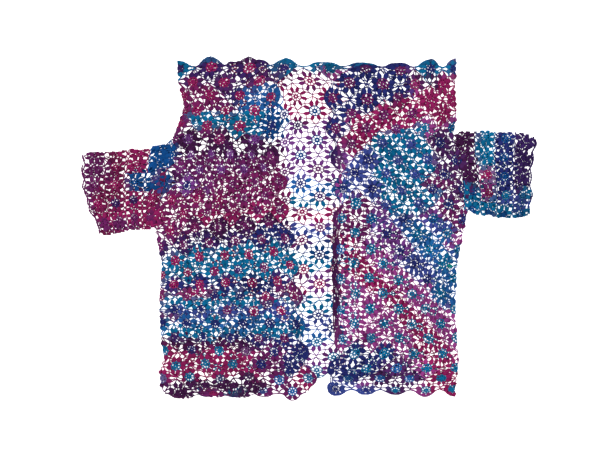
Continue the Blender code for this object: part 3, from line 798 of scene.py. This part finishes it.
def painter(piece_yarns):
    """A function for yarn colours at places of the plan: 0 for petals, 1 for middles."""
    base, *patches = piece_yarns

    def paint(points, which):
        colour = np.broadcast_to(linear(base[which]), points.shape[:-1] + (3,)).copy()
        px, py = points[..., 0], points[..., 1]
        (tall, pace), (low, slow) = WAVES
        for x, y, half_length, half_width, degrees, *yarns in patches:
            turn = math.radians(degrees)
            dx, dy = px - x, py - y
            along = np.abs(dx * math.cos(turn) + dy * math.sin(turn)) / half_length
            across = np.abs(dy * math.cos(turn) - dx * math.sin(turn)) / half_width
            depth = (1 - (along**3 + across**3) ** (1 / 3)) * min(half_length, half_width)
            wave = tall * np.sin(px * pace + y) + low * np.sin(py * slow + x)
            share = np.clip((depth + wave) / SOFT_EDGE + 0.5, 0, 1)[..., None]
            colour += (linear(yarns[which]) - colour) * share * share * (3 - 2 * share)
        return colour

    return paint


paint_left = painter(FRONT_LEFT_YARNS)
paint_right = painter(FRONT_RIGHT_YARNS)
paint_strip = painter(BACK_YARNS)
paint_sleeve_left = painter(SLEEVE_LEFT_YARNS)
paint_sleeve_right = painter(SLEEVE_RIGHT_YARNS)


def paint_back(points, which):
    """The strip's own colours, and the fronts' where they hide the back."""
    x, y = points[..., :1], points[..., 1]
    left = np.interp(y, *zip(*BACK_STRIP_X))[..., None]
    right = left + BACK_PITCH * (BACK_STRIP[1] - BACK_STRIP[0])
    hidden = np.where(x < left, paint_left(points, which), paint_right(points, which))
    inside = (x > left - STRIP_ROOM) & (x < right + STRIP_ROOM)
    return np.where(inside, paint_strip(points, which), hidden)


def curve_through(points, steps):
    """Points of a smooth curve through some points, with steps between each two."""
    padded = np.vstack([2 * points[0] - points[1], points, 2 * points[-1] - points[-2]])
    a, b, c, d = (padded[k : len(padded) - 3 + k, None] for k in range(4))
    t = (np.arange(steps) / steps)[None, :, None]
    curve = b + 0.5 * t * (c - a + t * (2 * a - 5 * b + 4 * c - d + t * (3 * (b - c) + d - a)))
    return np.vstack([curve.reshape(-1, points.shape[1]), points[-1:]])


class Lace:
    """The strands of one piece, worked on its grid and then made into one mesh."""

    def __init__(self, grid, paint):
        self.grid, self.paint = grid, paint
        self.points, self.colours, self.twists, self.faces = [], [], [], []
        self.count = 0

    def colour(self, spots, turns, stray=0, which=0):
        """The yarn's colour at some spots: 0 for petals, 1 for the middles of flowers."""
        return self.paint(self.grid.lift(spots, 0.0, turns)[..., :2] + stray, which)

    def follow(self, spots, up, turns, width, height, sides, colour, closed=False):
        """Adds strands along spots, as (strand, step, 2), flat in the cloth if wide."""
        line = self.grid.lift(spots, up, turns)
        over = self.grid.lift(spots, up + 1.0, turns) - line
        if closed:
            ahead = unit(np.roll(line, -1, 1) - np.roll(line, 1, 1))
        else:
            ahead = unit(np.gradient(line, axis=1))
        across = unit(np.cross(over, ahead))
        over = np.cross(ahead, across)
        angle = 2 * math.pi * (np.arange(sides) + (0.25 if sides % 2 else 0.5)) / sides
        wide = np.broadcast_to(width, line.shape[:2])[..., None] * np.cos(angle)
        tall = np.broadcast_to(height, line.shape[:2])[..., None] * np.sin(angle)
        points = line[:, :, None] + across[:, :, None] * wide[..., None]
        points = points + over[:, :, None] * tall[..., None]
        points[..., 2] = np.maximum(points[..., 2], FLOOR_ROOM)
        if colour.ndim == 2:
            colour = colour[:, None]
        colour = np.broadcast_to(colour[:, :, None], points.shape)
        self.points.append(points.reshape(-1, 3))
        self.colours.append(colour.reshape(-1, 3))
        self.add_twist(line, wide)
        self.add_faces(wide.shape, closed)

    def add_twist(self, line, wide):
        """Notes where each point is: how far across its strand, which, how far along."""
        steps = np.linalg.norm(np.diff(line, axis=1, prepend=line[:, :1]), axis=-1)
        which = np.arange(len(line))[:, None, None] * STRAND_STEP % 1.0
        twist = np.broadcast_arrays(wide, which, np.cumsum(steps, 1)[..., None])
        self.twists.append(np.stack(twist, -1).reshape(-1, 3))

    def add_faces(self, shape, closed):
        """Adds the faces of new strands, with ends unless they are rings."""
        total = math.prod(shape)
        grid = self.count + np.arange(total).reshape(shape)
        around = np.roll(grid, -1, 2)
        quads = np.stack([grid, around, np.roll(around, -1, 1), np.roll(grid, -1, 1)], -1)
        if not closed:
            quads = quads[:, :-1]
            self.faces += [grid[:, 0, ::-1], grid[:, -1]]
        self.faces.append(quads.reshape(-1, 4))
        self.count += total

    def add_knots(self, knots, rng, fine):
        """Adds the short bar of stitches at each knot."""
        turns = self.grid.turns(knots)
        colour = self.colour(knots, turns, rng.normal(0, STRAY, knots.shape))
        share, thick = np.array(KNOT_BAR).T
        slant = rng.normal(0, SPREADS["knot slant"], (len(knots), 1))
        bar = np.stack(np.broadcast_arrays(slant * share, KNOT_HALF * share), -1)
        spots = knots[:, None] + bar
        self.follow(spots, 0.0, turns[:, None], thick, thick, fine.spoke_sides, colour)

    def add_shells(self, edge, rng, only=None):
        """Adds a fan of close stitches round the outer side of each flower at an edge."""
        places, (right, down) = self.grid.edge_places(edge)
        places = [p for p in places if self.grid.is_flower(p) and (only is None or p[0] in only)]
        places = np.array(places, float)
        turns = self.grid.turns(places)
        aim = math.atan2(-down, right)
        colour = self.colour(places + polar(aim, SHELL_STRAY), turns)

        def vary(what, typical=0):
            return rng.normal(typical, SPREADS[what], (len(places), 1))

        for share in np.linspace(-1, 1, SHELL_STITCHES):
            shade = colour * vary("stitch light", 1.0)
            swell = math.sqrt(1 - SHELL_ROUND * share * share)
            start, stop = (at + more * swell for at, more in (SHELL_START, SHELL_STOP))
            radius = np.linspace(start, stop, len(SHELL_WIDTHS)) + vary("stitch length")
            angle = aim + share * SHELL_HALF_ANGLE + vary("stitch turn")
            spots, up = places[:, None] + polar(angle, radius), SHELL_UP + vary("stitch height")
            size = (np.array(SHELL_WIDTHS), SHELL_HALF_HEIGHT, STITCH_SIDES)
            self.follow(spots, up, turns[:, None], *size, shade)

    def add_chain(self, spots, plump=1.0):
        """Adds a line of chain stitches through some spots."""
        spots = curve_through(spots, CHAIN_STEPS)[None]
        turns = self.grid.turns(spots[0])[None]
        swell = CHAIN_SWELL * np.sin(np.arange(spots.shape[1]) * CHAIN_TURN)
        thick = (CHAIN_HALF_WIDTH + swell) * plump
        colour = self.colour(spots, turns)
        self.follow(spots, 0.0, turns, thick, CHAIN_HALF_HEIGHT, STITCH_SIDES, colour)

    def finish(self, name, slot_name, *nodes):
        """Makes the piece and ties it to the frame."""
        mesh = bpy.data.meshes.new(name)
        faces = [face for group in self.faces for face in group.tolist()]
        mesh.from_pydata(np.concatenate(self.points) * MM, [], faces)
        mesh.shade_smooth()
        colours = np.concatenate(self.colours)
        colours = np.column_stack([colours, np.ones(len(colours))])
        yarn = mesh.attributes.new("yarn", "FLOAT_COLOR", "POINT")
        yarn.data.foreach_set("color", colours.ravel())
        twist = mesh.attributes.new("twist", "FLOAT_VECTOR", "POINT")
        twist.data.foreach_set("vector", np.concatenate(self.twists).ravel())
        mesh.materials.append(bpy.data.materials[f"yarn_{slot_name}"])
        piece = add_object(name, mesh)
        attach(piece, "root")
        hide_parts(*nodes)
        return piece


class Flowers:
    """Some flowers of a piece of lace, each a little different from the others."""

    def __init__(self, lace, centres, rng, plump, fine=FINE):
        self.lace, self.centres, self.rng, self.fine = lace, centres, rng, fine
        self.plump = np.interp(centres[:, 1], *zip(*plump))[:, None]
        self.turns = lace.grid.turns(centres)
        self.scale = lace.grid.scale(centres)[:, None] * self.plump
        self.spin = self.vary("spin")
        self.size = self.vary("size", 1.0)
        self.shift = rng.normal(0, SPREADS["shift"], centres.shape)
        self.lean = self.vary("lean")
        self.light = self.vary("light", 1.0)
        self.stray = rng.normal(0, STRAY, centres.shape)

    def vary(self, what, typical=0):
        """A measure of each flower, spread round the typical one."""
        return self.rng.normal(typical, SPREADS[what], (len(self.centres), 1))

    def colours(self, out, which):
        """The yarn's colour at a step out from the middle of each flower."""
        return self.lace.colour(self.centres + out, self.turns, self.stray, which) * self.light

    def spots(self, angle, radius):
        """Spots at angles and radii in every flower, as (flower, step, 2)."""
        steps = polar(angle + self.spin, radius * self.size)
        return (self.centres + self.shift)[:, None] + steps

    def strand(self, angle, radius, size, sides, colour, closed=False):
        """Adds one strand of a half width, half height and lift to every flower."""
        width, height, up = size
        spots, width = self.spots(angle, radius), width * self.scale
        self.lace.follow(spots, up, self.turns[:, None], width, height, sides, colour, closed)

    def add(self):
        """Adds the flowers, with their threads to the knots and corners round them."""
        fine, colour = self.fine, self.colours(0, 1) * MIDDLE_LIGHT
        angle = np.linspace(0, 2 * math.pi, fine.eye_steps, endpoint=False)
        self.strand(angle, EYE, EYE_STRAND, fine.spoke_sides + 1, colour, True)
        angle = np.linspace(0, 2 * math.pi, fine.ring_steps, endpoint=False)
        bow = RING + RING_BOW * np.cos(angle * PETALS)
        self.strand(angle, bow, RING_STRAND, fine.ring_sides, colour, True)
        thick = np.array(SPOKE_RADII)
        for k in range(PETALS):
            angle = np.full(len(SPOKE), k * PETAL_STEP)
            size = (thick, thick, SPOKE_UP)
            self.strand(angle, np.array(SPOKE), size, fine.spoke_sides, colour)
        for k in range(PETALS):
            self.add_petal(k, (k + 0.5) * PETAL_STEP)

    def add_petal(self, k, way):
        """Adds the same petal to every flower, and the two threads at its tip."""
        share, shape = np.array(PETAL_SHAPE)[list(self.fine.petal)].T
        bend = self.vary("petal bend") + PETAL_LEAN * (1 if k % 2 else -1)
        angle = way + self.vary("petal turn") + bend * share
        radius = (RING + (TIP - RING) * share) * self.vary("petal length", 1.0)
        colour = self.colours(polar(way, PETAL_STRAY), 0) * self.vary("petal light", 1.0)
        width, height, up = PETAL_STRAND
        tilt = self.vary("petal tilt") + self.lean * math.cos(way)
        up = up + PETAL_ARCH * np.sin(share * math.pi) + tilt * share
        width = width * shape * self.vary("petal width", 1.0)
        height = height * (PETAL_HEIGHTS[0] + PETAL_HEIGHTS[1] * shape)
        self.strand(angle, radius, (width, height, up), PETAL_SIDES, colour)
        tip = self.spots(angle[:, -1:], radius[:, -1:] * THREAD_START)[:, 0]
        self.add_thread_to_knot(tip, k, colour)
        self.add_thread_to_corner(tip, k, colour)

    def add_thread_to_knot(self, tip, k, colour):
        """Adds the thread from a petal's tip to the knot that its pair points at."""
        step = np.array(STEPS_TO_KNOTS[(k + 1) // 2 % 4], float)
        knot = self.centres + step
        inside = self.lace.grid.has(knot)
        side = 1 if k < PETALS / 2 else -1
        knot[:, 1] -= KNOT_HALF * (step[1] or side)
        self.add_thread(tip, knot, self.vary("thread bow"), THREAD_STEP * k, colour, inside)

    def add_thread_to_corner(self, tip, k, colour):
        """Adds the thread from a petal's tip to the corner between four places."""
        corner = self.centres + np.array(STEPS_TO_CORNERS[k // 2])
        belly = self.vary("corner bow", CORNER_BOW if k % 2 else -CORNER_BOW)
        self.add_thread(tip, corner, belly, THREAD_STEP * (k + 0.5), colour)

    def add_thread(self, start, stop, belly, up, colour, only=slice(None)):
        """Adds a thread between two sets of spots, bowed sideways by a share."""
        start, way, belly = start[only], (stop - start)[only], belly[only]
        share = np.linspace(0, 1, self.fine.thread_steps)[None, :, None]
        side = np.stack([-way[:, 1], way[:, 0]], -1)
        bow = np.sin(share * math.pi) * belly[..., None] * side[:, None]
        spots = start[:, None] + way[:, None] * share + bow
        thin, turns = THREAD_RADIUS * self.plump[only], self.turns[only, None]
        # painted backlight: thread colours made lighter for the light that shines through thin
        # threads
        colour = colour[only] * THREAD_PAINTED_LIGHT
        self.lace.follow(spots, up, turns, thin, thin, THREAD_SIDES, colour)


def make_lace(grid, paint, seed, plump, fine=FINE, chosen=None):
    """One piece of lace on its grid, all of it or the chosen spots, without its edgings."""
    rng = np.random.default_rng(seed)
    lace = Lace(grid, paint)
    flowers, knots = grid.spots(True), grid.spots(False)
    if chosen:
        flowers, knots = flowers[chosen(flowers)], knots[chosen(knots)]
    Flowers(lace, flowers, rng, plump, fine).add()
    lace.add_knots(knots, rng, fine)
    return lace


def make_yoke(grid, rng):
    """The left front's top, above the armhole."""
    lace = make_lace(grid, paint_left, SEED, YOKE_PLUMP)
    Flowers(lace, np.array(YOKE_CORNER), rng, CORNER_PLUMP, PLAIN).add()
    for edge in grid.edges:
        lace.add_shells(edge, rng)
        lace.add_chain(grid.edge_spots(edge))
    return lace.finish("front_left_yoke", "lace_front_left", "front_left")


def make_left_body(grid, rng):
    """The rest of the left front, with its gathered hem."""
    lace = make_lace(grid, paint_left, SEED + 1, LEFT_PLUMP)
    lace.add_shells("inner", rng)
    lace.add_shells("bottom", rng, HEM_SHELLS)
    for edge in grid.edges:
        lace.add_chain(grid.edge_spots(edge))
    lace.grid = gathered_hem(grid)
    spots = grid.spots(True)
    column, row = spots.T
    folded = (row >= grid.rows - HEM_ROWS) & (column >= HEM_COLUMNS[0])
    folded &= column <= HEM_COLUMNS[1]
    Flowers(lace, spots[folded], rng, HEM_PLUMP, PLAIN).add()
    return lace.finish("front_left_body", "lace_front_left", "front_left")


def make_right_front(grid, rng):
    """The right front, with the close rows of stitches along its opening."""
    lace = make_lace(grid, paint_right, SEED + 2, RIGHT_PLUMP)
    for edge in grid.edges:
        lace.add_shells(edge, rng)
    for edge in grid.edges:
        lace.add_chain(grid.edge_spots(edge))
    rows = np.arange(*SELVEDGE_ROWS, 0.5)
    for aside in SELVEDGE:
        columns = grid.columns - 1 + aside + rng.normal(0, SELVEDGE_SPREAD, len(rows))
        lace.add_chain(np.stack([columns, rows], -1), SELVEDGE_PLUMP)
    return lace.finish("front_right_lace", "lace_front_right", "front_right")


def make_back(grid, rng):
    """The back's middle, which shows between the fronts, and its sides under them."""

    def shown(spots):
        return (spots[:, 0] >= SHOWN[0]) & (spots[:, 0] <= SHOWN[1])

    def hidden(spots):
        """Not the middle, nor what the fronts hold as they turn under at the folds."""
        y = grid.locate(spots)[:, 1]
        keep = ~shown(spots)
        for column, (low, high) in zip((0, BACK_COLUMNS), (LEFT_ARMHOLE, RIGHT_ARMHOLE)):
            keep &= (spots[:, 0] != column) | ((y > low) & (y < high))
        return keep

    lace = make_lace(grid, paint_back, SEED + 3, BACK_PLUMP, chosen=shown)
    lace.add_shells("top", rng)
    for edge in grid.edges:
        lace.add_chain(grid.edge_spots(edge))
    middle = lace.finish("back_middle", "lace_back", "back")
    lace = make_lace(grid, paint_back, SEED + 4, SIDES_PLUMP, PLAIN, hidden)
    return middle, lace.finish("back_sides", "lace_back", "back")


def make_sleeve(side, front, paint, seed):
    """A sleeve, all the way round, that goes on from a front's lace."""
    grid = sleeve_grid(side, front)
    lace = make_lace(grid, paint, seed, SLEEVE_PLUMP)
    lace.add_chain(grid.cuff_spots(), CUFF_PLUMP)
    nodes = (f"sleeve_{side}_over", f"sleeve_{side}_under")
    return lace.finish(f"sleeve_{side}", f"lace_sleeve_{side}", *nodes)


def new_material(name, values):
    """A material whose shader has some values, and the shader."""
    material = bpy.data.materials.new(name)
    material.use_nodes = True
    shader = material.node_tree.nodes["Principled BSDF"]
    for socket, value in values.items():
        shader.inputs[socket].default_value = value
    return material, shader


def add_object(name, data, location=(0, 0, 0)):
    """A new object in the scene."""
    added = bpy.data.objects.new(name, data)
    added.location = location
    bpy.context.scene.collection.objects.link(added)
    return added


def make_material(slot):
    """Plied yarn that takes its colour from the strands, with painted shade at the sides of each
    yarn and along its plies.
    """
    material, shader = new_material(f"yarn_{slot}", YARN_SURFACE)
    nodes, links = material.node_tree.nodes, material.node_tree.links

    def connect(socket, value):
        if isinstance(value, (int, float)):
            socket.default_value = value
        else:
            links.new(value, socket)

    def new_node(kind, **inputs):
        node = nodes.new("ShaderNode" + kind)
        for name, value in inputs.items():
            connect(node.inputs[name], value)
        return node

    def math_node(operation, *values):
        node = new_node("Math")
        node.operation = operation
        for socket, value in zip(node.inputs, values):
            connect(socket, value)
        return node.outputs[0]

    def add_up(total, *terms):
        """The total with more sockets added, each times its factor."""
        for socket, factor in terms:
            total = math_node("MULTIPLY_ADD", socket, factor, total)
        return total

    place = new_node("TexCoord").outputs["Object"]
    fibres = new_node("TexNoise", Vector=place, **FIBRES).outputs["Fac"]
    dye = new_node("TexNoise", Vector=place, **DYE).outputs["Fac"]
    twist, yarn = new_node("Attribute"), new_node("Attribute")
    twist.attribute_name, yarn.attribute_name = "twist", "yarn"
    across, which, along = new_node("SeparateXYZ", Vector=twist.outputs["Vector"]).outputs

    # side goes from -0.5 to 0.5 across each yarn
    side = math_node("SUBTRACT", math_node("FRACT", add_up(10.5, (across, 1 / YARN_WIDTH))), 0.5)
    rounding = math_node("MULTIPLY", math_node("MULTIPLY", side, side), -4.0)
    turn = add_up(0.0, (along, 2 * math.pi / PLY_PITCH), (side, PLY_SLANT), (which, 6.3))
    plies = math_node("SINE", turn)
    height = add_up(rounding, (plies, 0.3), (fibres, 0.7))
    bump = new_node("Bump", Height=height, **BUMP)
    connect(shader.inputs["Normal"], bump.outputs["Normal"])

    # painted shade: the yarn's colour is darkened towards the sides of each yarn (rounding) and
    # lighter and darker along its plies, with fibre and dye noise as the yarn's own uneven tone
    shade = add_up(0.68, (plies, 0.08), (rounding, 0.2), (fibres, 0.35), (dye, 0.45))
    shaded = new_node("VectorMath")
    shaded.operation = "SCALE"
    connect(shaded.inputs[0], yarn.outputs["Color"])
    connect(shaded.inputs["Scale"], shade)
    connect(shader.inputs["Base Color"], shaded.outputs[0])


def make_garment():
    """The yarn materials and all the pieces."""
    yoke, left, right = front_grids()
    for slot in SLOTS:
        make_material(slot)
    rng = np.random.default_rng(SEED + 20)
    upper_left = make_yoke(yoke, rng)
    lower_left = make_left_body(left, rng)
    front_right = make_right_front(right, rng)
    back_middle, back_sides = make_back(back_grid(yoke, left, right), rng)
    sleeves = (
        make_sleeve("left", left, paint_sleeve_left, SEED + 5),
        make_sleeve("right", right, paint_sleeve_right, SEED + 6),
    )


def make_floor():
    """A plain white floor that glows a little, as a lit table does."""
    bpy.ops.mesh.primitive_plane_add(size=FLOOR_SIZE, location=(0, 0, -FLOOR_DROP))
    floor = bpy.context.object
    floor.name = "floor"
    floor.data.materials.append(new_material("floor", FLOOR_SURFACE)[0])


def make_lights():
    """Even white light from all round, and a large soft light above."""
    world = bpy.data.worlds.new("studio")
    bpy.context.scene.world = world
    world.use_nodes = True
    background = world.node_tree.nodes["Background"]
    background.inputs["Color"].default_value = (1, 1, 1, 1)
    background.inputs["Strength"].default_value = 1.0
    light = bpy.data.lights.new("soft_box", "AREA")
    light.shape, light.size, light.energy = "SQUARE", LIGHT_SIZE, LIGHT_WATTS
    box = add_object("soft_box", light, LIGHT_PLACE)
    box.rotation_euler = (-box.location).to_track_quat("-Z", "Y").to_euler()


def make_camera():
    """A camera straight above, far enough for a flat look."""
    data = bpy.data.cameras.new("camera")
    data.lens, data.sensor_width = LENS, SENSOR
    place = (*VIEW_CENTRE, VIEW_WIDTH * LENS / SENSOR)
    bpy.context.scene.camera = add_object("camera", data, place)


make_garment()
make_floor()
make_lights()
make_camera()
bpy.context.scene.view_settings.view_transform = "Standard"
